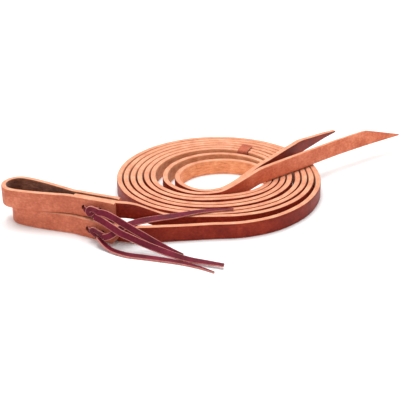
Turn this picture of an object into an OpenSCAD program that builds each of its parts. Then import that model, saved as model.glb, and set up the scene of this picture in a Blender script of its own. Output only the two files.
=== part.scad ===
// A pair of split reins, wound together into one flat coil that stands on the straps' edges.
// Each rein's bit end sits in a folded water loop and is tied there with a lace.
// +X runs along the longest side, -Y is the side of the loops' open knots, +Z is up,
// and the origin is the middle of the coil on the surface it lies on.

/* [Reins] */
// Width of each rein
rein_w = 15.9; // [12.7:0.1:19]
// Thickness of the rein leather
rein_t = 5.3; // [4:0.1:5.5]
// Length of the diagonal cut at the front rein's free end
tip_cut_a = 46; // [20:1:60]
// Length of the diagonal cut at the back rein's free end
tip_cut_b = 78; // [40:1:95]

/* [Coil] */
// Size of the coil against its drawn turns
coil_scale = 1; // [1:0.01:1.25]
// Steps in one full turn
turn_steps = 48; // [36:12:72]

/* [Water loops] */
// Width of the water loop leather
loop_w = 19; // [17:0.1:22]
// Thickness of the water loop leather
loop_t = 4.8; // [3.5:0.1:5.5]
// Length of a water loop from the tied end to the bight
loop_len = 122; // [100:1:150]
// Width across the outside of the bight
bight_w = 33; // [26:0.5:42]
// Gap between stacked loops
loop_gap = 0.5; // [0.4:0.1:2]

/* [Laces] */
// Width of the lace
lace_w = 6.4; // [4:0.1:8]
// Thickness of the lace
lace_t = 1.8; // [1.2:0.1:2.4]
// Diameter of the lace holes
hole_d = 5.6; // [4.5:0.1:7]
// Distance between the two lace holes
hole_pitch = 16; // [12:0.5:18]
// Distance from the loop's tied end to the first hole
hole_inset = 15; // [9:0.5:18]

/* [Keeper] */
// Width of the leather keeper strip on the rear turns
keeper_w = 11; // [8:1:20]
// Thickness of the keeper strip
keeper_t = 2; // [1.2:0.1:3]

/* [Fits] */
// Clearance between pieces that lie against each other
rest_gap = 0.3; // [0.2:0.05:0.6]
// Gap where a strap is divided at a bend
bend_gap = 1.2; // [0.8:0.1:2]

/* [Hidden] */

// Centreline distance from the coil's middle at the front, right, rear and left of each turn
RADII_A = [100.7, 102, 104.8, 102,  78.5, 88.4, 92.8, 88,
            64, 73, 80.8, 73.8,  48.2, 59.6, 61, 54.5,  36.4, 42];
RADII_B = [ 84.5, 95.2, 98.8, 95,  72.5, 81.6, 86.8, 81,
            58, 66.2, 74.8, 67,  42.3, 52.8, 44.5, 42.5,  30.5, 30];
TURNS = 4;

// Lead of each rein from the coil's front to its tied end: x, y and the share of its climb
LEAD_A = [[0, -100.7, 0], [-12, -101, 0], [-25, -101.7, 0], [-38, -102.6, 0.065],
          [-52, -103.6, 0.26], [-66, -104.8, 0.58], [-78, -105.5, 0.84], [-89, -105.6, 0.97],
          [-97.4, -103.5, 1]];
LEAD_B = [[0, -84.5, 0], [-15, -84.4, 0], [-32, -84.2, 0.01], [-42, -84.5, 0.045],
          [-50, -85.1, 0.105], [-58, -86.2, 0.23], [-66, -87.9, 0.42], [-74, -89.9, 0.63],
          [-82, -91.8, 0.835], [-90, -93.3, 0.965], [-95.5, -93.6, 1], [-99.4, -92.8, 1]];

// Start of each free end, which climbs out of the coil: x, y and the share of its climb
RISE_A = [[0, -36.4, 0], [3, -36, 0.04], [7, -34.9, 0.13], [15, -31.6, 0.35], [23, -27.6, 0.57],
          [30, -23.6, 0.75], [36, -19.8, 0.9], [40.4, -16.9, 0.98]];
RISE_B = [[0, -30.5, 0], [4, -29.9, 0.08], [9, -28, 0.18], [14.5, -25.2, 0.32], [21, -21.3, 0.5],
          [28, -16.6, 0.7], [34.5, -11.5, 0.87], [40, -6.4, 0.97], [44, -2, 1]];

// Rest of each free end, over the right of the coil: x, y and the height above the turns
TIP_A = [[41.2, -16.3, 0.5], [50, -10.2, 0.7], [62, -2, 0.9], [76, 7.8, 1.1], [96, 22, 1.5],
         [114, 34.6, 1.9], [133, 47.4, 2.3], [152, 59.8, 2.5], [168, 70.2, 2.5],
         [187, 82.4, 2.3], [206, 94.6, 1.9]];
TIP_B = [[44.8, -1.1, 0.7], [52, 7.6, 0.8], [60, 17.6, 1], [69, 29, 1.2], [80, 43, 1.3],
         [93, 59.6, 1.3], [107, 77, 1.2], [121.5, 94.6, 1.1], [136.5, 112.4, 0.9]];

// Where each rein's end is tied in its water loop
TIE_A = [-98, -103.2];
TIE_B = [-100, -92.5];
tie_angle_a = 149;
tie_angle_b = 156.5;

// The turns were drawn for leather this thick, and thicker leather spreads them
drawn_t = 5.3;
spread = coil_scale * max(1, rein_t / drawn_t);
climb_gap = 0.6;
loop_z_a = 0;
loop_z_b = loop_w + loop_gap;
loop_mid = (loop_w - rein_w) / 2;
// The tied ends and all that hangs on them move as one piece when the coil spreads
tie_shift = (spread - 1) * TIE_A;
tie_a = TIE_A + tie_shift;
tie_b = TIE_B + tie_shift;

function sub3(a, b) = [a[0] - b[0], a[1] - b[1], a[2] - b[2]];
function unit2(v) = [v[0], v[1]] / max(norm([v[0], v[1]]), 0.0001);
function left_of(v) = [-v[1], v[0]];
// Direction along a list of points in plan, at point i
function run2(p, i) = unit2([p[min(i + 1, len(p) - 1)][0] - p[max(i - 1, 0)][0],
                             p[min(i + 1, len(p) - 1)][1] - p[max(i - 1, 0)][1]]);
// Smooth step through four values at part u of the middle pair
function ease4(a, b, c, d, u) = 0.5 * (2 * b + (c - a) * u + (2 * a - 5 * b + 4 * c - d) * u * u
                                       + (3 * b - a - 3 * c + d) * u * u * u);
function radius_at(list, q) = let (i = min(floor(q), len(list) - 2), n = len(list) - 1)
    ease4(list[max(i - 1, 0)], list[i], list[i + 1], list[min(i + 2, n)], q - i);
function turn_points(list) = [for (k = [0 : TURNS * turn_steps])
    let (a = 360 * k / turn_steps, r = spread * radius_at(list, a / 90))
    [r * sin(a), -r * cos(a)]];
// Outline of a strip of thickness t along plan points
function strip_outline(p, t) = concat(
    [for (i = [0 : len(p) - 1]) [p[i][0], p[i][1]] + left_of(run2(p, i)) * t / 2],
    [for (i = [len(p) - 1 : -1 : 0]) [p[i][0], p[i][1]] - left_of(run2(p, i)) * t / 2]);

// Smooth curve through chosen points, n steps between each pair
function smooth(p, n) = concat([for (i = [0 : len(p) - 2], k = [0 : n - 1])
    let (a = p[max(i - 1, 0)], b = p[i], c = p[i + 1], d = p[min(i + 2, len(p) - 1)], u = k / n)
    [for (j = [0 : 2]) ease4(a[j], b[j], c[j], d[j], u)]], [p[len(p) - 1]]);
function run_length(p, i) = i == 0 ? 0 : norm(sub3(p[i], p[i - 1])) + run_length(p, i - 1);

// The same run, started a little way on so that it stands clear of the stretch before it
function clear_start(p) = [for (i = [0 : len(p) - 1])
    i == 0 ? p[0] + (p[1] - p[0]) * rest_gap / norm(sub3(p[1], p[0])) : p[i]];

// A lead spreads with the coil at one end, moves with the tie at the other, and climbs to top
function led(p, top) = [for (q = p) let (near_tie = min(max(q[0] / TIE_A[0], 0), 1))
    [q[0] + (1 - near_tie) * (spread - 1) * q[0] + near_tie * tie_shift[0],
     q[1] + (1 - near_tie) * (spread - 1) * q[1] + near_tie * tie_shift[1], q[2] * top]];
function risen(p) = [for (q = p) [spread * q[0], spread * q[1], q[2] * (rein_w + climb_gap)]];
function over_turns(p) = [for (q = p) [spread * q[0], spread * q[1], rein_w + q[2]]];

module edge_strap(p, w, t, cut = 0) {
    // A strap standing on its edge: four corners at each point, the end cut to a long point
    total = run_length(p, len(p) - 1);
    corners = [for (i = [0 : len(p) - 1])
        let (side = left_of(run2(p, i)) * t / 2, rest = total - run_length(p, i),
             h = cut > 0 && rest < cut ? 1.6 + (w - 1.6) * rest / cut : w)
        each [[p[i][0] + side[0], p[i][1] + side[1], p[i][2]],
              [p[i][0] - side[0], p[i][1] - side[1], p[i][2]],
              [p[i][0] - side[0], p[i][1] - side[1], p[i][2] + h],
              [p[i][0] + side[0], p[i][1] + side[1], p[i][2] + h]]];
    rings = len(p);
    walls = [for (i = [0 : rings - 2], j = [0 : 3])
        let (a = 4 * i + j, b = 4 * i + (j + 1) % 4)
        each [[a, a + 4, b], [b, a + 4, b + 4]]];
    last = 4 * (rings - 1);
    caps = [[0, 1, 2], [0, 2, 3], [last, last + 2, last + 1], [last, last + 3, last + 2]];
    polyhedron(points = corners, faces = concat(walls, caps));
}

module flat_lace(p, w, t, end_w) {
    // A flat lace along points, eight-sided in section, tapered over its last third
    sides = 8;
    total = run_length(p, len(p) - 1);
    rings = [for (i = [0 : len(p) - 1])
        let (d = run2(p, i), side = left_of(d), done = run_length(p, i) / total,
             rise = (p[min(i + 1, len(p) - 1)][2] - p[max(i - 1, 0)][2])
                    / max(norm(sub3(p[min(i + 1, len(p) - 1)], p[max(i - 1, 0)])), 0.01),
             flat = sqrt(1 - rise * rise),
             up = [-rise * d[0], -rise * d[1], flat],
             here = done < 0.6 ? w : w + (end_w - w) * (done - 0.6) / 0.4)
        each [for (k = [0 : sides - 1]) let (a = 360 * (k + 0.5) / sides,
              u = cos(a) * here / 2 / cos(22.5), v = sin(a) * t / 2 / cos(22.5))
              [p[i][0] + side[0] * u + up[0] * v, p[i][1] + side[1] * u + up[1] * v,
               p[i][2] + up[2] * v]]];
    last = sides * (len(p) - 1);
    walls = [for (i = [0 : len(p) - 2], k = [0 : sides - 1])
        let (a = sides * i + k, b = sides * i + (k + 1) % sides)
        each [[a, a + sides, b], [b, a + sides, b + sides]]];
    polyhedron(points = rings, faces = concat(walls,
        [[for (k = [0 : sides - 1]) k]], [[for (k = [sides - 1 : -1 : 0]) last + k]]));
}

tied_len = 45;

// Half outline of a folded water loop, in its own frame: the tied end at 0, the bight at loop_len
leg_near = rein_t / 2 + rest_gap + loop_t / 2;
leg_far = bight_w / 2 - loop_t / 2;
leg_run = loop_len - leg_far - loop_t / 2;
// Legs lie close on the rein's end, then spread nearly straight to the bight
function leg_offset(s) = let (flare = tied_len + 4, u = (s - flare) / (leg_run - flare))
    s <= flare ? leg_near : leg_near + (leg_far - leg_near) * (4 * min(u, 1) - pow(min(u, 1), 4)) / 3;
LOOP_PATH = concat(
    [for (s = [0 : 6 : leg_run - 3]) [s, -leg_offset(s)]],
    [for (a = [-90 : 15 : 90]) [leg_run + leg_far * cos(a), leg_far * sin(a)]],
    [for (k = [0 : floor((leg_run - 3) / 6)]) let (s = 6 * (floor((leg_run - 3) / 6) - k))
        [s, leg_offset(s)]]);

module at_tie(tie, angle, z) {
    translate([tie[0], tie[1], z]) rotate([0, 0, angle]) children();
}

module lace_holes(depth) {
    for (k = [0, 1])
        translate([hole_inset + k * hole_pitch, depth / 2, loop_w / 2])
            rotate([90, 0, 0]) cylinder(d = hole_d, h = depth, $fn = 48);
}

module water_loop(tie, angle, z) {
    at_tie(tie, angle, z) difference() {
        linear_extrude(height = loop_w) polygon(strip_outline(LOOP_PATH, loop_t));
        lace_holes(60);
    }
}

module tie_end(tie, angle, z) {
    // The end of the rein inside the loop, punched with the same two holes
    at_tie(tie, angle, z) difference() {
        translate([bend_gap / 2, -rein_t / 2, (loop_w - rein_w) / 2])
            cube([tied_len - bend_gap / 2, rein_t, rein_w]);
        lace_holes(60);
    }
}

// Half the thickness of the tied stack, from the rein's centreline to a loop leg's outer face
face_out = leg_near + loop_t / 2;
module lace_knot(tie, angle, z) {
    // The lace bridges the back, comes forward through both holes and is knotted in front
    strand = [hole_pitch + lace_w, lace_t, lace_w];
    at_tie(tie, angle, z) translate([hole_inset + hole_pitch / 2, 0, loop_w / 2]) {
        for (side = [-1, 1])
            translate([side * hole_pitch / 2, 0, 0]) rotate([90, 0, 0])
                cylinder(d = hole_d - 1, h = 2 * (face_out + rest_gap + lace_t / 2), center = true, $fn = 32);
        translate([0, -face_out - rest_gap - lace_t / 2, 0]) cube(strand, center = true);
        for (tilt = [-14, 14])
            translate([0, face_out + rest_gap + lace_t * (1 + tilt / 28), 0])
                rotate([0, tilt, 0]) cube(strand, center = true);
    }
}

// Lace tails, from the knot to the tip: x, y and the height above a straight line between the
// knot's height and the height of what the tip lies on
TAIL_UPPER_BACK = [[-118, -102.8, 2.5], [-111, -105.4, 6.343], [-102.5, -109.8, 7.686],
                   [-90, -115.2, 5.729], [-78, -119.2, 3.571], [-67, -123, 2.514],
                   [-52, -130.4, 1.857], [-40, -138, 4.2]];
TAIL_UPPER_FRONT = [[-121, -102.4, -2.6], [-114, -107.4, -1.3], [-105.5, -114.2, -1.3],
                    [-96.6, -119.8, -2.3], [-88, -122.4, -2.8], [-78, -126, -3.5],
                    [-67, -130.4, -3.6], [-51, -137.8, -3.9], [-35, -146, -2.3],
                    [-18, -152.6, 0.5], [-4, -158, 3.4]];
TAIL_LOWER_FRONT = [[-118, -109.6, -1.5], [-114.3, -113.8, -3.15], [-110, -118, -4.6],
                    [-105, -122.6, -5.15], [-97, -128.2, -4.6], [-89, -132.2, -3.65],
                    [-76, -136, -2.7], [-60, -141, -1.75], [-43, -147.4, -0.8],
                    [-26, -156.6, 0.15], [-13, -166, 1.1]];
TAIL_LOWER_BACK = [[-113, -113.4, 1], [-107.3, -115.2, 2.967], [-101.3, -114.2, 5.833],
                   [-94.2, -109.6, 8.1], [-86, -104, 8.067], [-76, -99, 7.433],
                   [-62, -94.4, 6.7], [-50, -91.6, 6.167], [-41, -88, 5.233], [-27, -82, 4],
                   [-14, -78.4, 3.067], [-2, -77, 2.533], [10, -76.4, 2]];
function hung(p, knot_z, lie_z) = [for (i = [0 : len(p) - 1]) let (u = i / (len(p) - 1))
    [p[i][0] + tie_shift[0], p[i][1] + tie_shift[1], p[i][2] + (1 - u) * knot_z + u * lie_z]];

module rein_a_coil() {
    color([0.83, 0.45, 0.30]) linear_extrude(height = rein_w)
        polygon(strip_outline(turn_points(RADII_A), rein_t));
}
module rein_b_coil() {
    color([0.86, 0.50, 0.34]) linear_extrude(height = rein_w)
        polygon(strip_outline(turn_points(RADII_B), rein_t));
}
module rein_a_lead() {
    color([0.78, 0.38, 0.26]) edge_strap(clear_start(smooth(led(LEAD_A, loop_z_a + loop_mid), 3)), rein_w, rein_t);
}
module rein_b_lead() {
    color([0.62, 0.30, 0.20]) edge_strap(clear_start(smooth(led(LEAD_B, loop_z_b + loop_mid), 3)), rein_w, rein_t);
}
module rein_a_tie_end() {
    color([0.83, 0.45, 0.30]) tie_end(tie_a, tie_angle_a, loop_z_a);
}
module rein_b_tie_end() {
    color([0.83, 0.45, 0.30]) tie_end(tie_b, tie_angle_b, loop_z_b);
}
module rein_a_rise() {
    color([0.85, 0.48, 0.33]) edge_strap(clear_start(smooth(risen(RISE_A), 3)), rein_w, rein_t);
}
module rein_b_rise() {
    color([0.72, 0.33, 0.22]) edge_strap(clear_start(smooth(risen(RISE_B), 3)), rein_w, rein_t);
}
module rein_a_tip() {
    color([0.85, 0.48, 0.33]) edge_strap(smooth(over_turns(TIP_A), 3), rein_w, rein_t, tip_cut_a);
}
module rein_b_tip() {
    color([0.72, 0.33, 0.22]) edge_strap(smooth(over_turns(TIP_B), 3), rein_w, rein_t, tip_cut_b);
}
module water_loop_lower() {
    color([0.80, 0.45, 0.33]) water_loop(tie_a, tie_angle_a, loop_z_a);
}
module water_loop_upper() {
    color([0.80, 0.45, 0.33]) water_loop(tie_b, tie_angle_b, loop_z_b);
}
module lace_knot_lower() {
    color([0.45, 0.12, 0.20]) lace_knot(tie_a, tie_angle_a, loop_z_a);
}
module lace_knot_upper() {
    color([0.45, 0.12, 0.20]) lace_knot(tie_b, tie_angle_b, loop_z_b);
}
module lace_tail_upper_back() {
    color([0.45, 0.12, 0.24]) flat_lace(smooth(hung(TAIL_UPPER_BACK, loop_z_b + loop_w / 2, 0), 2), lace_w, lace_t, lace_w * 0.3);
}
module lace_tail_upper_front() {
    color([0.45, 0.12, 0.24]) flat_lace(smooth(hung(TAIL_UPPER_FRONT, loop_z_b + loop_w / 2, 0), 2), lace_w, lace_t, lace_w * 0.7);
}
module lace_tail_lower_front() {
    color([0.45, 0.12, 0.24]) flat_lace(smooth(hung(TAIL_LOWER_FRONT, loop_z_a + loop_w / 2, 0), 2), lace_w, lace_t, lace_w * 0.2);
}
module lace_tail_lower_back() {
    color([0.45, 0.12, 0.24]) flat_lace(smooth(hung(TAIL_LOWER_BACK, loop_z_a + loop_w / 2, rein_w), 2), lace_w, lace_t, lace_w * 0.25);
}
// The keeper lies across the tight rear turns and folds down inside them
keeper_angle = 65;
keeper_span = 17;
keeper_inner = 69.4;
keeper_drop = 8;
module keeper_strip() {
    color([0.72, 0.30, 0.22]) rotate([0, 0, keeper_angle])
        translate([(spread - 1) * keeper_inner, -keeper_w / 2, rein_w + rest_gap]) {
            translate([keeper_inner - keeper_t, 0, 0]) cube([keeper_span, keeper_w, keeper_t]);
            translate([keeper_inner - keeper_t, 0, -keeper_drop])
                cube([keeper_t, keeper_w, keeper_drop + keeper_t]);
        }
}

rein_a_coil();
rein_b_coil();
rein_a_lead();
rein_b_lead();
rein_a_tie_end();
rein_b_tie_end();
rein_a_rise();
rein_b_rise();
rein_a_tip();
rein_b_tip();
water_loop_lower();
water_loop_upper();
lace_knot_lower();
lace_knot_upper();
lace_tail_upper_back();
lace_tail_upper_front();
lace_tail_lower_front();
lace_tail_lower_back();
keeper_strip();
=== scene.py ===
import math
import bpy
import numpy as np
from mathutils import Matrix, Vector


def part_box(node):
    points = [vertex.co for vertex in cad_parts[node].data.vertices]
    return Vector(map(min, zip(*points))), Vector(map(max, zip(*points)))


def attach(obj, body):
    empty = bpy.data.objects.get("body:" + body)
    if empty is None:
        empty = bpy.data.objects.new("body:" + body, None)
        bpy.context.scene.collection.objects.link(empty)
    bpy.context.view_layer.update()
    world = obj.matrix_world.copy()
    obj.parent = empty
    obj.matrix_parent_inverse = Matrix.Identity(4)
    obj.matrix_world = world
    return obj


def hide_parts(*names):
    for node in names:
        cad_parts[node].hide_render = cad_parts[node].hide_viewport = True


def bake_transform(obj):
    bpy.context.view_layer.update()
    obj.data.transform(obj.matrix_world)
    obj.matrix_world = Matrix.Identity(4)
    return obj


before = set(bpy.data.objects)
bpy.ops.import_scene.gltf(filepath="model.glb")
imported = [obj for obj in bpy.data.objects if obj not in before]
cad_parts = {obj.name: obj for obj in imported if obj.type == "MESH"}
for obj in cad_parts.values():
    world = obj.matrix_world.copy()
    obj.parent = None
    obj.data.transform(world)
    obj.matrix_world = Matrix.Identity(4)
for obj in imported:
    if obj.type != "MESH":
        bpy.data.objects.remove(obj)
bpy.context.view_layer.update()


# ---- Viewpoint --------------------------------------------------------------------------
# The coil is seen from just above its near side, a little over a metre away, with a long
# lens. The view looks at the middle of the coil.
view_distance = 1.0566
view_height_angle = math.radians(26.1)
view_side_angle = math.radians(3.09)
look = Vector((math.sin(view_side_angle) * math.cos(view_height_angle),
               math.cos(view_side_angle) * math.cos(view_height_angle),
               -math.sin(view_height_angle)))
camera_data = bpy.data.cameras.new("view")
camera_data.sensor_width = 36
camera_data.lens = 91.8
camera_data.shift_x = -0.0472
camera_data.shift_y = -0.0221
camera_data.clip_start = 0.05
camera = bpy.data.objects.new("view", camera_data)
camera.location = -look * view_distance
camera.rotation_euler = look.to_track_quat("-Z", "Y").to_euler()
bpy.context.collection.objects.link(camera)
bpy.context.scene.camera = camera


# ---- Tie lace tails ---------------------------------------------------------------------
# Each lace is a long thin strip cut from burgundy oil-tanned leather, 6.4 mm wide, with pale
# raw edges. Its two ends hang out of the half knot on the water loop and taper to a tip.
MM = 0.001
lace_width = 6.4 * MM
lace_thickness = 1.7 * MM
lace_steps = 6
taper_from = 0.55
lace_curl = 0.009
curl_turns = 9


def ease(a, b, c, d, u):
    """The share u of the way from b to c, on a smooth line that also heeds a and d."""
    return 0.5 * (2 * b + (c - a) * u + (2 * a - 5 * b + 4 * c - d) * u * u
                  + (3 * b - a - 3 * c + d) * u ** 3)


def smooth_run(points, steps):
    """A smooth curve through the chosen points, with the same number of steps in each gap."""
    p = [np.array(q, float) for q in points]
    last = len(p) - 1
    run = [ease(p[max(i - 1, 0)], p[i], p[i + 1], p[min(i + 2, last)], k / steps)
           for i in range(last) for k in range(steps)]
    return run + [p[last]]


def unit(v):
    return v / max(np.linalg.norm(v), 1e-9)


def tangents(run):
    last = len(run) - 1
    return [unit(run[min(i + 1, last)] - run[max(i - 1, 0)]) for i in range(last + 1)]


def run_lengths(run):
    steps = [0.0] + [float(np.linalg.norm(run[i] - run[i - 1])) for i in range(1, len(run))]
    return list(np.cumsum(steps))


def strip_section(corner, across_steps, raw_corner=0):
    """One round of a cut strip: (through, across, side) from -1 to 1 each, where side is
    0 grain, 1 edge, 2 flesh. corner is the rounding as (share of thickness, of width)."""
    through, across = corner
    chamfer, bulge = 0.3, 1.01
    points = []
    for k in range(across_steps + 1):
        points.append((-1, (1 - across) * (2 * k / across_steps - 1),
                       raw_corner if k == across_steps else 0))
    points += [(-1 + chamfer * through, 1 - chamfer * across, 1), (-1 + through, 1, 1),
               (0, bulge, 1), (1 - through, 1, 1),
               (1 - chamfer * through, 1 - chamfer * across, 2)]
    for k in range(across_steps + 1):
        points.append((1, (1 - across) * (1 - 2 * k / across_steps), 2))
    points += [(1 - chamfer * through, -1 + chamfer * across, 1), (1 - through, -1, 1),
               (0, -bulge, 1), (-1 + through, -1, 1),
               (-1 + chamfer * through, -1 + chamfer * across, raw_corner)]
    return points


def lay_strip(name, rings, section, lengths, girth, end_side=1):
    """Skin the rings of points into a closed strip, with its own map in metres. end_side is
    the side whose finish the two cut ends take."""
    end_map_depth = 2.6 * MM
    end_map_share = 0.2
    count = len(section)
    vertices = [tuple(v) for ring in rings for v in ring]
    faces, sides, maps = [], [], []
    around = np.linspace(0, girth, count + 1)
    for i in range(len(rings) - 1):
        for k in range(count):
            n = (k + 1) % count
            faces.append((i * count + k, i * count + n, (i + 1) * count + n, (i + 1) * count + k))
            sides.append(section[k][2])
            maps.append([(lengths[i], around[k]), (lengths[i], around[k + 1]),
                         (lengths[i + 1], around[k + 1]), (lengths[i + 1], around[k])])
    for first in (0, (len(rings) - 1) * count):
        faces.append(tuple(range(first, first + count)))
        sides.append(end_side)
        maps.append([(lengths[0 if first == 0 else -1] + section[k][0] * end_map_depth,
                      section[k][1] * girth * end_map_share) for k in range(count)])
    mesh = bpy.data.meshes.new(name)
    mesh.from_pydata(vertices, [], faces)
    layer = mesh.uv_layers.new(name="strip")
    at = 0
    for polygon, side, corners in zip(mesh.polygons, sides, maps):
        polygon.material_index = side
        for corner in corners:
            layer.data[at].uv = corner
            at += 1
    piece = bpy.data.objects.new(name, mesh)
    bpy.context.collection.objects.link(piece)
    bpy.ops.object.select_all(action="DESELECT")
    piece.select_set(True)
    bpy.context.view_layer.objects.active = piece
    bpy.ops.object.mode_set(mode="EDIT")
    bpy.ops.mesh.select_all(action="SELECT")
    bpy.ops.mesh.normals_make_consistent(inside=False)
    bpy.ops.object.mode_set(mode="OBJECT")
    bpy.ops.object.shade_smooth_by_angle(angle=math.radians(40))
    return piece


def lay_lace(name, points, facings, end_width, width=lace_width):
    """A flat lace along chosen points in millimetres; facings are the ways its grain looks."""
    run = [q * MM for q in smooth_run(points, lace_steps)]
    ways = smooth_run(facings, 1)
    along = run_lengths(run)
    section = strip_section((0.5, 0.16), 4, 1)
    rings = []
    for i, (centre, way) in enumerate(zip(run, tangents(run))):
        share = along[i] / along[-1]
        at = share * (len(ways) - 1)
        low = min(int(at), len(ways) - 2)
        facing = ways[low] + (ways[low + 1] - ways[low]) * (at - low)
        across = unit(np.cross(way, facing))
        out = unit(np.cross(across, way))
        tapered = max(0, (share - taper_from) / (1 - taper_from)) ** 1.2
        taper = 1 + (end_width - 1) * tapered
        curl = lace_curl * lace_width * math.sin(curl_turns * share)
        rings.append([centre - out * (a * lace_thickness / 2 + curl * b)
                      + across * b * taper * width / 2 for a, b, _ in section])
    piece = lay_strip(name, rings, section, along, 2 * (lace_width + lace_thickness))
    return piece, run, along[-1]


UP_BACK = [(-118, -102.8, 31.5), (-111, -105.4, 31.2), (-102.5, -109.8, 28.4), (-90, -115.2, 22.3),
           (-78, -119.2, 16), (-67, -123, 10.8), (-52, -130.4, 6), (-40, -138, 4.2)]
UP_FRONT = [(-121, -102.4, 26.4), (-114, -107.4, 24.8), (-105.5, -114.2, 21.9),
            (-96.6, -119.8, 18), (-88, -122.4, 14.6), (-78, -126, 11), (-67, -130.4, 8),
            (-51, -137.8, 4.8), (-35, -146, 3.5), (-18, -152.6, 3.4), (-4, -158, 3.4)]
LOW_FRONT = [(-118, -109.6, 8), (-114.3, -113.8, 5.4), (-110, -118, 3), (-105, -122.6, 1.8),
             (-97, -128.2, 1.6), (-89, -132.2, 1.5), (-76, -136, 1.4), (-60, -141, 1.3),
             (-43, -147.4, 1.2), (-26, -156.6, 1.1), (-13, -166, 1.1)]
LOW_BACK = [(-113, -113.4, 10.5), (-107.3, -115.2, 13), (-101.3, -114.2, 16.4),
            (-94.2, -109.6, 19.2), (-86, -104, 19.7), (-76, -99, 19.6), (-62, -94.4, 19.4),
            (-50, -91.6, 19.4), (-41, -88, 19), (-27, -82, 18.3), (-14, -78.4, 17.9),
            (-2, -77, 17.9), (10, -76.4, 17.9)]
# name, route, ways the grain looks from knot to tip, tip width, body
TAILS = [
    ("lace_tail_upper_back", UP_BACK, [(-0.3, -1, 0.5), (-0.2, -0.9, 0.7), (-0.1, -0.7, 0.8)],
     0.3, "tail_upper_back"),
    ("lace_tail_upper_front", UP_FRONT, [(-0.3, -1, 0.4), (-0.2, -0.9, 0.7), (0, -0.7, 0.9),
                                         (0, -0.4, 1)], 0.6, "tail_upper_front"),
    ("lace_tail_lower_front", LOW_FRONT, [(0.8, -0.3, 1), (0.1, -0.2, 1), (0, -0.12, 1),
                                          (0, -0.1, 1)], 0.15, "tail_lower_front"),
    ("lace_tail_lower_back", LOW_BACK, [(-0.3, -1, 0.3), (-0.1, -0.6, 0.8), (0, -0.5, 0.9),
                                        (0, -0.4, 1), (0, -0.3, 1)], 0.2, "tail_lower_back"),
]
lace_pieces = []
for tail_name, route, facings, tip_width, body in TAILS:
    tail, tail_run, tail_length = lay_lace(tail_name + "_strip", route, facings, tip_width)
    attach(tail, body)
    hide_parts(tail_name)
    lace_pieces.append(tail)


def value_group(name, inputs, outputs):
    """An empty node group with value or colour sockets, and its two end nodes."""
    group = bpy.data.node_groups.new(name, "ShaderNodeTree")
    for label, kind in inputs:
        group.interface.new_socket(name=label, in_out="INPUT", socket_type=kind)
    for label, kind in outputs:
        group.interface.new_socket(name=label, in_out="OUTPUT", socket_type=kind)
    return group, group.nodes.new("NodeGroupInput"), group.nodes.new("NodeGroupOutput")


def math_node(tree, operation, a, b):
    node = tree.nodes.new("ShaderNodeMath")
    node.operation = operation
    for socket, value in zip(node.inputs, (a, b)):
        if isinstance(value, bpy.types.NodeSocket):
            tree.links.new(value, socket)
        else:
            socket.default_value = value
    return node.outputs[0]


def noise_node(tree, vector, scale, detail, roughness=0.6):
    node = tree.nodes.new("ShaderNodeTexNoise")
    node.inputs["Detail"].default_value = detail
    node.inputs["Roughness"].default_value = roughness
    if isinstance(scale, bpy.types.NodeSocket):
        tree.links.new(scale, node.inputs["Scale"])
    else:
        node.inputs["Scale"].default_value = scale
    tree.links.new(vector, node.inputs["Vector"])
    return node.outputs["Fac"]


def stretched(tree, vector, along, across):
    """The strip's map squeezed along its run, so that a pattern draws out into fibres."""
    node = tree.nodes.new("ShaderNodeMapping")
    node.inputs["Scale"].default_value = (along, across, 1)
    tree.links.new(vector, node.inputs["Vector"])
    return node.outputs["Vector"]


def make_grain_group():
    """Smooth side of leather: cloudy dye, faint drawn lines, fine pores and creases."""
    group, start, end = value_group("leather_grain",
                                    [("Place", "NodeSocketVector"), ("Strip", "NodeSocketVector")],
                                    [("Tone", "NodeSocketFloat"), ("Height", "NodeSocketFloat")])
    place, strip = start.outputs["Place"], start.outputs["Strip"]
    clouds = noise_node(group, place, scale=55, detail=5, roughness=0.62)
    lines = noise_node(group, stretched(group, strip, 0.25, 1), scale=900, detail=3, roughness=0.55)
    mottle = noise_node(group, place, scale=420, detail=4)
    tone = math_node(group, "ADD", math_node(group, "MULTIPLY", clouds, 0.5),
                     math_node(group, "MULTIPLY", lines, 0.22))
    tone = math_node(group, "ADD", tone, math_node(group, "MULTIPLY", mottle, 0.28))
    group.links.new(tone, end.inputs["Tone"])
    pores = group.nodes.new("ShaderNodeTexVoronoi")
    pores.feature = "DISTANCE_TO_EDGE"
    pores.inputs["Scale"].default_value = 1300
    group.links.new(place, pores.inputs["Vector"])
    creases = math_node(group, "MINIMUM", pores.outputs["Distance"], 0.16)
    height = math_node(group, "ADD", math_node(group, "MULTIPLY", creases, 2.2),
                       math_node(group, "MULTIPLY", mottle, 0.9))
    group.links.new(height, end.inputs["Height"])
    return group


def make_fibre_group():
    """Raw leather, as on a cut edge or the flesh side: drawn fibres and loose nap."""
    group, start, end = value_group("leather_fibre",
                                    [("Place", "NodeSocketVector"), ("Strip", "NodeSocketVector"),
                                     ("Coarseness", "NodeSocketFloat")],
                                    [("Tone", "NodeSocketFloat"), ("Height", "NodeSocketFloat")])
    place, strip = start.outputs["Place"], start.outputs["Strip"]
    drawn = noise_node(group, stretched(group, strip, 0.12, 1),
                       scale=start.outputs["Coarseness"], detail=5, roughness=0.7)
    nap = noise_node(group, place, scale=1500, detail=4, roughness=0.7)
    patches = noise_node(group, place, scale=90, detail=3, roughness=0.5)
    tone = math_node(group, "ADD", math_node(group, "MULTIPLY", drawn, 0.5),
                     math_node(group, "MULTIPLY", nap, 0.25))
    tone = math_node(group, "ADD", tone, math_node(group, "MULTIPLY", patches, 0.25))
    group.links.new(tone, end.inputs["Tone"])
    group.links.new(math_node(group, "ADD", drawn, math_node(group, "MULTIPLY", nap, 0.6)),
                    end.inputs["Height"])
    return group


GRAIN, FIBRE = make_grain_group(), make_fibre_group()


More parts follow.
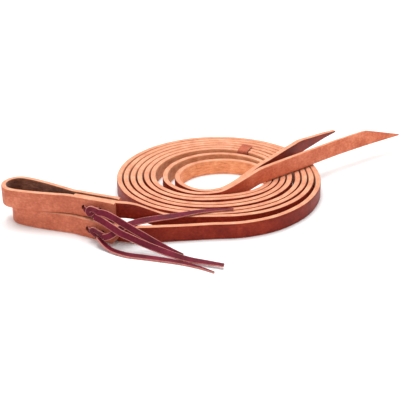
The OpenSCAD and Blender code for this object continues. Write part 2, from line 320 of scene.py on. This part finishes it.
def leather(name, group, dark, mid, pale, roughness, bump, coarseness=None, sheen=0.0,
            shine=0.16, painted_shade_over=0.0):
    """A leather finish: three colours spread by the group's tone, with its own relief. bump
    is the relief's height, and the last argument the length over which painted shade darkens the
    strip's start."""
    material = bpy.data.materials.new(name)
    material.use_nodes = True
    tree = material.node_tree
    shader = tree.nodes["Principled BSDF"]
    place = tree.nodes.new("ShaderNodeTexCoord")
    strip = tree.nodes.new("ShaderNodeUVMap")
    strip.uv_map = "strip"
    finish = tree.nodes.new("ShaderNodeGroup")
    finish.node_tree = group
    tree.links.new(place.outputs["Object"], finish.inputs["Place"])
    tree.links.new(strip.outputs["UV"], finish.inputs["Strip"])
    if coarseness:
        finish.inputs["Coarseness"].default_value = coarseness
    ramp = tree.nodes.new("ShaderNodeValToRGB")
    stops = ramp.color_ramp.elements
    stops[0].position, stops[0].color = 0.37, (*dark, 1)
    stops[1].position, stops[1].color = 0.63, (*pale, 1)
    middle = stops.new(0.5)
    middle.color = (*mid, 1)
    tree.links.new(finish.outputs["Tone"], ramp.inputs["Fac"])
    colour = ramp.outputs["Color"]
    if painted_shade_over:
        # Painted shade: the colour is darker where the strap rises out from between the coil's turns,
        # and fades along the strip's map
        run = tree.nodes.new("ShaderNodeSeparateXYZ")
        tree.links.new(strip.outputs["UV"], run.inputs["Vector"])
        fade = tree.nodes.new("ShaderNodeMapRange")
        fade.interpolation_type = "SMOOTHSTEP"
        fade.inputs["From Max"].default_value = painted_shade_over
        fade.inputs["To Min"].default_value = 1
        fade.inputs["To Max"].default_value = 0
        tree.links.new(run.outputs["X"], fade.inputs["Value"])
        coil_shade_mix = tree.nodes.new("ShaderNodeMix")
        coil_shade_mix.data_type = "RGBA"
        coil_shade_mix.blend_type = "MULTIPLY"
        tree.links.new(fade.outputs["Result"], coil_shade_mix.inputs["Factor"])
        for socket in coil_shade_mix.inputs:
            if socket.identifier == "A_Color":
                tree.links.new(colour, socket)
            if socket.identifier == "B_Color":
                socket.default_value = (0.5, 0.24, 0.2, 1)
        colour = [q for q in coil_shade_mix.outputs if q.identifier == "Result_Color"][0]
    tree.links.new(colour, shader.inputs["Base Color"])
    rough = tree.nodes.new("ShaderNodeMapRange")
    rough.inputs["To Min"].default_value = roughness - 0.08
    rough.inputs["To Max"].default_value = roughness + 0.1
    tree.links.new(finish.outputs["Tone"], rough.inputs["Value"])
    tree.links.new(rough.outputs["Result"], shader.inputs["Roughness"])
    relief = tree.nodes.new("ShaderNodeBump")
    relief.inputs["Strength"].default_value = 0.55
    relief.inputs["Distance"].default_value = bump
    tree.links.new(finish.outputs["Height"], relief.inputs["Height"])
    tree.links.new(relief.outputs["Normal"], shader.inputs["Normal"])
    shader.inputs["Specular IOR Level"].default_value = shine
    shader.inputs["Sheen Weight"].default_value = sheen
    shader.inputs["Sheen Roughness"].default_value = 0.5
    return material


lace_grain = leather("lace_grain", GRAIN, (0.068, 0.003, 0.008), (0.125, 0.006, 0.018),
                     (0.20, 0.012, 0.036), 0.55, 0.00006)
lace_edge = leather("lace_cut_edge", FIBRE, (0.30, 0.06, 0.055), (0.52, 0.18, 0.15),
                    (0.74, 0.34, 0.28), 0.8, 0.0001, 2600)
lace_flesh = leather("lace_flesh_side", FIBRE, (0.14, 0.014, 0.028), (0.22, 0.03, 0.05),
                     (0.34, 0.07, 0.09), 0.85, 0.00012, 1500, sheen=0.2)


def finish_strip(piece, grain, edge, flesh):
    for material in (grain, edge, flesh):
        piece.data.materials.append(material)


for tail in lace_pieces:
    finish_strip(tail, lace_grain, lace_edge, lace_flesh)


# ---- The two reins ----------------------------------------------------------------------
# Each rein is one long strap of oiled russet harness leather, 5/8 inch wide, cut square at the
# tied end and to a long point at the free end. Both are wound together, grain side out.
coil_low, coil_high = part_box("rein_a_coil")
rein_width = coil_high[2] - coil_low[2]
rein_thickness = 5.3 * MM
point_width = 1.6 * MM
point_thickness = 0.75
rein_corner = (0.34, 0.11)
slow_wave, slow_rate = 0.12 * MM, 61
quick_wave, quick_rate = 0.09 * MM, 147
lift, lift_steps = 2.4, 13
turns = 4
steps_in_turn = 120
# Distance from the middle at the front, right, rear and left of each turn
RADII_A = [100.7, 102, 104.8, 102, 78.5, 88.4, 92.8, 88, 64, 73, 80.8, 73.8,
           48.2, 59.6, 61, 54.5, 36.4, 42]
RADII_B = [84.5, 95.2, 98.8, 95, 72.5, 81.6, 86.8, 81, 58, 66.2, 74.8, 67,
           42.3, 52.8, 44.5, 42.5, 30.5, 30]
LEAD_A = [(0, -100.7, 0), (-12, -101, 0), (-25, -101.7, 0), (-38, -102.6, 0.1), (-52, -103.6, 0.4),
          (-66, -104.8, 0.9), (-78, -105.5, 1.3), (-89, -105.6, 1.5), (-97.4, -103.5, 1.55)]
LEAD_B = [(0, -84.5, 0), (-15, -84.4, 0), (-32, -84.2, 0.2), (-42, -84.5, 0.9), (-50, -85.1, 2.2),
          (-58, -86.2, 4.8), (-66, -87.9, 8.8), (-74, -89.9, 13.3), (-82, -91.8, 17.6),
          (-90, -93.3, 20.3), (-95.5, -93.6, 21.05), (-99.4, -92.8, 21.05)]
FREE_A = [(0, -36.4, 2.4), (3, -36, 3.4), (7, -34.9, 4.8), (15, -31.6, 7.8), (23, -27.6, 10.8),
          (30, -23.6, 13.2), (36, -19.8, 15.1), (41.2, -16.3, 16.3), (50, -10.2, 16.8),
          (62, -2, 17), (76, 7.8, 17.2), (96, 22, 17.4), (114, 34.6, 17.8), (133, 47.4, 18.2),
          (152, 59.8, 18.4), (168, 70.2, 18.4), (187, 82.4, 18.2), (206, 94.6, 17.8)]
FREE_B = [(0, -30.5, 2.4), (4, -29.9, 3.6), (9, -28, 5.2), (14.5, -25.2, 7.2), (21, -21.3, 9.7),
          (28, -16.6, 12.5), (34.5, -11.5, 14.8), (40, -6.4, 16.2), (44.8, -1.1, 16.6),
          (52, 7.6, 16.7), (60, 17.6, 16.9), (69, 29, 17.1), (80, 43, 17.2), (93, 59.6, 17.2),
          (107, 77, 17.1), (121.5, 94.6, 17), (136.5, 112.4, 16.8)]
TIE_A = np.array((-98, -103.2, 0.0))
TIE_B = np.array((-100, -92.5, 0.0))
tie_angle_a = math.radians(149)
tie_angle_b = math.radians(156.5)
tied_length, tied_step = 45, 3
tie_height_a, tie_height_b = 1.55, 21.05


def radius_at(radii, quarter):
    i = min(int(quarter), len(radii) - 2)
    last = len(radii) - 1
    return ease(radii[max(i - 1, 0)], radii[i], radii[i + 1], radii[min(i + 2, last)], quarter - i)


def coil_run(radii):
    """The turns from the front inward; the last of them begins to lift off the table."""
    run = []
    last = turns * steps_in_turn
    for k in range(last + 1):
        angle = 2 * math.pi * k / steps_in_turn
        r = radius_at(radii, 4 * k / steps_in_turn)
        lifted = max(0, 1 - (last - k) / lift_steps) ** 1.6
        run.append(np.array((r * math.sin(angle), -r * math.cos(angle), lift * lifted)))
    return run


def tied_run(tie, angle, height):
    return [tie + np.array((math.cos(angle) * s, math.sin(angle) * s, height))
            for s in range(tied_length, tied_step - 1, -tied_step)]


def lay_rein(name, stretches, leans, point_length):
    """One strap on its edge, swept through the tied end and lead, the turns and the free end
    in one go and then divided into those three meshes. leans is how far the top of the free
    end tips back, in degrees, at shares of its length."""
    run = [q * MM for k, stretch in enumerate(stretches) for q in stretch[1 if k else 0:]]
    splits = [0, len(stretches[0]) - 1, len(stretches[0]) + len(stretches[1]) - 2, len(run) - 1]
    along = run_lengths(run)
    free_from = along[splits[2]]
    section = strip_section(rein_corner, 6)
    rings = []
    for i, (foot, way) in enumerate(zip(run, tangents(run))):
        side = unit(np.array((-way[1], way[0], 0.0)))
        share = (along[i] - free_from) / (along[-1] - free_from)
        lean = math.radians(np.interp(share, [q[0] for q in leans], [q[1] for q in leans]))
        rise = np.array((side[0] * math.sin(lean), side[1] * math.sin(lean), math.cos(lean)))
        through = np.array((side[0] * math.cos(lean), side[1] * math.cos(lean), -math.sin(lean)))
        cut = min((along[-1] - along[i]) / point_length, 1)
        height = point_width + (rein_width - point_width) * cut
        thin = rein_thickness * (point_thickness + (1 - point_thickness) * cut)
        wave = (slow_wave * math.sin(along[i] * slow_rate)
                + quick_wave * math.sin(along[i] * quick_rate + 1))
        rings.append([foot + through * (a * thin / 2 + wave) + rise * height * (b + 1) / 2
                      for a, b, _ in section])
    pieces = []
    for k, part in enumerate(("bit_end", "turns", "free_end")):
        first, last = splits[k], splits[k + 1] + 1
        lengths = [q - (free_from if k == 2 else 0) for q in along[first:last]]
        pieces.append(lay_strip(f"{name}_{part}", rings[first:last], section, lengths,
                                2 * (rein_width + rein_thickness)))
    return pieces


rein_grain = leather("russet_rein_grain", GRAIN, (0.135, 0.009, 0.004), (0.225, 0.017, 0.0065),
                     (0.33, 0.036, 0.014), 0.46, 0.00007, shine=0.14)
# Rein A's free end is paler, with painted shade at its start where it rises out of the coil's turns
pale_grain = leather("pale_rein_grain", GRAIN, (0.50, 0.105, 0.052), (0.67, 0.175, 0.088),
                     (0.83, 0.28, 0.155), 0.48, 0.00007, shine=0.18,
                     painted_shade_over=0.06)
rein_edge = leather("rein_cut_edge", FIBRE, (0.44, 0.15, 0.085), (0.70, 0.30, 0.175),
                    (0.86, 0.46, 0.30), 0.7, 0.00014, 1500)
rein_flesh = leather("rein_flesh_side", FIBRE, (0.50, 0.16, 0.065), (0.80, 0.30, 0.135),
                     (0.97, 0.50, 0.27), 0.85, 0.0002, 1100, sheen=0.1)

bit_end_a, turns_a, free_a = lay_rein(
    "rein_a", [tied_run(TIE_A, tie_angle_a, tie_height_a) + smooth_run(LEAD_A, 4)[::-1],
               coil_run(RADII_A), smooth_run(FREE_A, 4)],
    [(0, 0), (0.22, 3), (0.55, 14), (1, 26)], 46 * MM)
bit_end_b, turns_b, free_b = lay_rein(
    "rein_b", [tied_run(TIE_B, tie_angle_b, tie_height_b) + smooth_run(LEAD_B, 4)[::-1],
               coil_run(RADII_B), smooth_run(FREE_B, 4)],
    [(0, 0), (0.35, -2), (1, -6)], 78 * MM)
for strap in (bit_end_a, turns_a, free_a, bit_end_b, turns_b, free_b):
    finish_strip(strap, pale_grain if strap is free_a else rein_grain, rein_edge, rein_flesh)
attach(turns_a, "coil")
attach(turns_b, "coil")
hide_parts("rein_a_lead", "rein_a_tie_end")
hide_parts("rein_b_lead", "rein_b_tie_end")
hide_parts("rein_a_coil")
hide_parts("rein_b_coil")
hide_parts("rein_a_rise", "rein_a_tip")
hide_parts("rein_b_rise", "rein_b_tip")


# ---- Water loops ------------------------------------------------------------------------
# Each water loop is a folded strip of 3/4 inch leather that holds the bit's ring. Its two
# legs lie on both sides of the rein's end, and all three layers are punched together.
loop_low, loop_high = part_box("water_loop_lower")
upper_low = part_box("water_loop_upper")[0]
loop_width = loop_high[2] - loop_low[2]
loop_corner = (0.36, 0.1)
leg_half = 2.4
loop_thickness = 2 * leg_half * MM
loop_length = 122
bight_width = 33
tie_gap = 0.3
leg_near = rein_thickness / MM / 2 + tie_gap + leg_half
leg_far = bight_width / 2 - leg_half
leg_run = loop_length - leg_far - leg_half
leg_step = 2.5
bight_steps = 25
end_trim, end_trim_length = 0.8 * MM, 3.5 * MM
nip_length = 5 * MM
flare_start = tied_length + 4
hole_radius = 2.8 * MM
hole_places = (15, 31)
punch_length = 50 * MM


def leg_offset(s):
    share = min(max((s - flare_start) / (leg_run - flare_start), 0), 1)
    return leg_near + (leg_far - leg_near) * (4 * share - share ** 4) / 3


def loop_run():
    straight = list(np.arange(0, leg_run, leg_step))
    run = [(s, -leg_offset(s)) for s in straight]
    run += [(leg_run + leg_far * math.cos(a), leg_far * math.sin(a))
            for a in np.linspace(-math.pi / 2, math.pi / 2, bight_steps)]
    return run + [(s, leg_offset(s)) for s in reversed(straight)]


def tie_frame(tie, angle, height):
    return Matrix.Translation((tie[0] * MM, tie[1] * MM, height)) @ Matrix.Rotation(angle, 4, "Z")


def punch(piece, place, height):
    """Cut the two lace holes through the piece."""
    for s in hole_places:
        bpy.ops.object.select_all(action="DESELECT")
        bpy.ops.mesh.primitive_cylinder_add(vertices=40, radius=hole_radius, depth=punch_length,
                                            location=(0, 0, 0), rotation=(math.pi / 2, 0, 0))
        tool = bpy.context.object
        bpy.ops.object.transform_apply(location=False, rotation=True, scale=False)
        tool.data.transform(place @ Matrix.Translation((s * MM, 0, height)))
        cut = piece.modifiers.new("punch", "BOOLEAN")
        cut.operation = "DIFFERENCE"
        cut.solver = "EXACT"
        cut.object = tool
        bpy.context.view_layer.objects.active = piece
        bpy.ops.object.modifier_apply(modifier="punch")
        bpy.data.objects.remove(tool, do_unlink=True)


def lay_water_loop(name, place, corner_cut):
    """A folded strip; corner_cut is how much is nipped off the front leg's lower corner."""
    run = [np.array((x * MM, y * MM, 0.0)) for x, y in loop_run()]
    along = run_lengths(run)
    section = strip_section(loop_corner, 6)
    rings = []
    for i, (foot, way) in enumerate(zip(run, tangents(run))):
        side = unit(np.array((-way[1], way[0], 0.0)))
        at_end = min(along[i], along[-1] - along[i])
        trim = end_trim * max(0, 1 - at_end / end_trim_length)
        nip = corner_cut * max(0, 1 - (along[-1] - along[i]) / nip_length)
        rings.append([place @ Vector(foot + side * a * loop_thickness / 2
                                     + np.array((0, 0, loop_width / 2 + b * (loop_width / 2 - trim)
                                                 + nip * (1 - b) / 2)))
                      for a, b, _ in section])
    piece = lay_strip(name, rings, section, along, 2 * (loop_width + loop_thickness), 0)
    punch(piece, place, loop_width / 2)
    return piece


loop_grain = leather("water_loop_grain", GRAIN, (0.40, 0.088, 0.044), (0.55, 0.145, 0.076),
                     (0.70, 0.23, 0.13), 0.5, 0.00007, shine=0.2)
loop_edge = leather("water_loop_cut_edge", FIBRE, (0.45, 0.16, 0.09), (0.70, 0.31, 0.185),
                    (0.86, 0.47, 0.31), 0.7, 0.00014, 1500)
loop_flesh = leather("water_loop_flesh_side", FIBRE, (0.07, 0.02, 0.010), (0.19, 0.062, 0.032),
                     (0.40, 0.17, 0.10), 0.9, 0.0003, 900, sheen=0.3)
place_lower = tie_frame(TIE_A, tie_angle_a, loop_low[2])
place_upper = tie_frame(TIE_B, tie_angle_b, upper_low[2])
loop_lower = lay_water_loop("water_loop_lower_fold", place_lower, 5 * MM)
loop_upper = lay_water_loop("water_loop_upper_fold", place_upper, 2 * MM)
for fold, node, body in ((loop_lower, "water_loop_lower", "loop_lower"),
                         (loop_upper, "water_loop_upper", "loop_upper")):
    finish_strip(fold, loop_grain, loop_edge, loop_flesh)
    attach(fold, body)
    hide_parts(node)
punch(bit_end_a, place_lower, loop_width / 2)
punch(bit_end_b, place_upper, loop_width / 2)


def bend_between(piece):
    """Bake the piece's placement into its mesh, leaving it where it lies."""
    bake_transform(piece)


bend_between(bit_end_a)
bend_between(bit_end_b)
bend_between(free_a)
bend_between(free_b)


# ---- Lace knots -------------------------------------------------------------------------
# Each lace goes through the two punched holes from behind, and its ends are crossed once in
# front in a half knot that grips the loop and the rein's end.
knot_lace_width = 5.2 * MM
knot_end_width = 1.2
tail_overlap = 1.5
# Places along the loop, out from the stack's middle, and up from the loop's middle
KNOT_UPPER = [
    [(31, 3, 0), (30.8, 7, 0.2), (29.4, 9, -0.8), (26.2, 9.4, -3.2), (22.6, 9.8, -5), (18.8, 10.4, -5),
     (15.8, 11.6, -3.6), UP_FRONT],
    [(15, 3, 0), (15.4, 7, 0.3), (17.2, 9.2, 0.6), (20.4, 11.2, -1), (23, 12.2, -3.6),
     (24.6, 12.6, -1.4), (23.4, 13, 1.8), (20, 12.8, 3), UP_BACK],
]
KNOT_LOWER = [
    [(31, 3, 0), (30.6, 7, 0.2), (28.8, 9, -0.2), (25.4, 9.5, -0.6), (21.4, 10.2, -2.4),
     (18, 11, -3.4), LOW_FRONT],
    [(15, 3, 0), (15.4, 7, 0.2), (17.4, 9.4, -0.6), (20.6, 11.4, -1), (23.2, 12.3, 1.6),
     (22, 12.8, 4), (18.4, 12.6, 3.6), LOW_BACK],
]
BRIDGE = [(14.4, -4, 0), (14.8, -8.6, 0), (18, -10, 0), (23, -10.2, 0), (28, -10, 0),
          (31.2, -8.6, 0), (31.6, -4, 0)]


def tie_knot(name, place, strands, node, body):
    """Lay the strands and the bridge behind; a strand that ends in a tail runs on into it."""
    pieces = []
    for number, strand in enumerate(strands + [BRIDGE]):
        route = []
        for spot in strand:
            if isinstance(spot, list):
                tail_from = Vector(spot[0])
                tail_way = (Vector(spot[1]) - tail_from).normalized()
                route += [tuple(tail_from + tail_way * tail_overlap)]
            else:
                x, y, z = spot
                local = Vector((x * MM, y * MM, z * MM + loop_width / 2))
                route.append(tuple((place @ local) / MM))
        out = place.to_3x3() @ Vector((0, 1 if number < 2 else -1, 0))
        along = place.to_3x3() @ Vector((-1 if number == 0 else 1, 0, 0))
        if number == 2:
            ways = [tuple(-along), tuple(out), tuple(out), tuple(along)]
        else:
            last = (-0.3, -1, 0.4) if strand[-1] is not LOW_FRONT else (0.8, -0.3, 1)
            ways = [tuple(-along), tuple(out), tuple(out), tuple(out), last]
        piece = lay_lace(f"{name}_{number}", route, ways, knot_end_width, knot_lace_width)[0]
        finish_strip(piece, lace_grain, lace_edge, lace_flesh)
        pieces.append(piece)
    bpy.ops.object.select_all(action="DESELECT")
    for piece in pieces:
        piece.select_set(True)
    bpy.context.view_layer.objects.active = pieces[0]
    bpy.ops.object.join()
    knot = bpy.context.object
    knot.name = name
    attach(knot, body)
    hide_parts(node)


tie_knot("lace_knot_upper_tied", place_upper, KNOT_UPPER, "lace_knot_upper", "loop_upper")
tie_knot("lace_knot_lower_tied", place_lower, KNOT_LOWER, "lace_knot_lower", "loop_lower")


# ---- Keeper strip -----------------------------------------------------------------------
# A short strip of thin reddish leather laid across the tight rear turns and folded down
# inside them, which keeps the wound reins together.
keeper_angle = math.radians(65)
keeper_half = 5.5 * MM
keeper_half_thickness = 0.8 * MM
keeper_girth = 28 * MM
keeper_route = [(67.6, 8.6), (67.6, 12), (67.7, 15.2), (68.6, 17.2), (71, 17.9), (75, 18),
                (79, 17.9), (84.2, 17.6)]
keeper_run = [q * MM for q in smooth_run([(r * math.cos(keeper_angle), r * math.sin(keeper_angle), z)
                                          for r, z in keeper_route], 4)]
keeper_section = strip_section((0.5, 0.08), 4)
keeper_across = np.array((-math.sin(keeper_angle), math.cos(keeper_angle), 0.0))
keeper_rings = []
for centre, way in zip(keeper_run, tangents(keeper_run)):
    out = unit(np.cross(way, keeper_across))
    keeper_rings.append([centre + out * a * keeper_half_thickness - keeper_across * b * keeper_half
                         for a, b, _ in keeper_section])
keeper = lay_strip("keeper_strip_folded", keeper_rings, keeper_section, run_lengths(keeper_run),
                   keeper_girth)
keeper_grain = leather("keeper_grain", GRAIN, (0.26, 0.05, 0.025), (0.40, 0.09, 0.045),
                       (0.55, 0.15, 0.08), 0.5, 0.00006)
finish_strip(keeper, keeper_grain, loop_edge, keeper_grain)
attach(keeper, "coil")
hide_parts("keeper_strip")


# ---- Table and light --------------------------------------------------------------------
# A plain white sweep under the reins, lit softly from above and behind, with a weaker fill
# from the front so that the near faces stay rich and dark.
bpy.ops.object.select_all(action="DESELECT")
bpy.ops.mesh.primitive_plane_add(size=8, location=(0, 0, 0))
table = bpy.context.object
table.name = "white_table"
white = bpy.data.materials.new("white_table")
white.use_nodes = True
white.node_tree.nodes["Principled BSDF"].inputs["Base Color"].default_value = (0.93, 0.93, 0.93, 1)
white.node_tree.nodes["Principled BSDF"].inputs["Roughness"].default_value = 0.9
table.data.materials.append(white)


def soft_light(name, place, size, power):
    data = bpy.data.lights.new(name, "AREA")
    data.size = size
    data.energy = power
    light = bpy.data.objects.new(name, data)
    light.location = place
    light.rotation_euler = (-Vector(place)).to_track_quat("-Z", "Y").to_euler()
    bpy.context.collection.objects.link(light)


soft_light("top_light", (0.0, 0.25, 1.5), size=1.0, power=25)
soft_light("front_fill", (-0.9, -1.2, 0.9), size=0.9, power=5)
world = bpy.data.worlds.new("studio")
world.use_nodes = True
world.node_tree.nodes["Background"].inputs["Color"].default_value = (1, 1, 1, 1)
world.node_tree.nodes["Background"].inputs["Strength"].default_value = 0.55
bpy.context.scene.world = world
bpy.context.scene.view_settings.view_transform = "Standard"
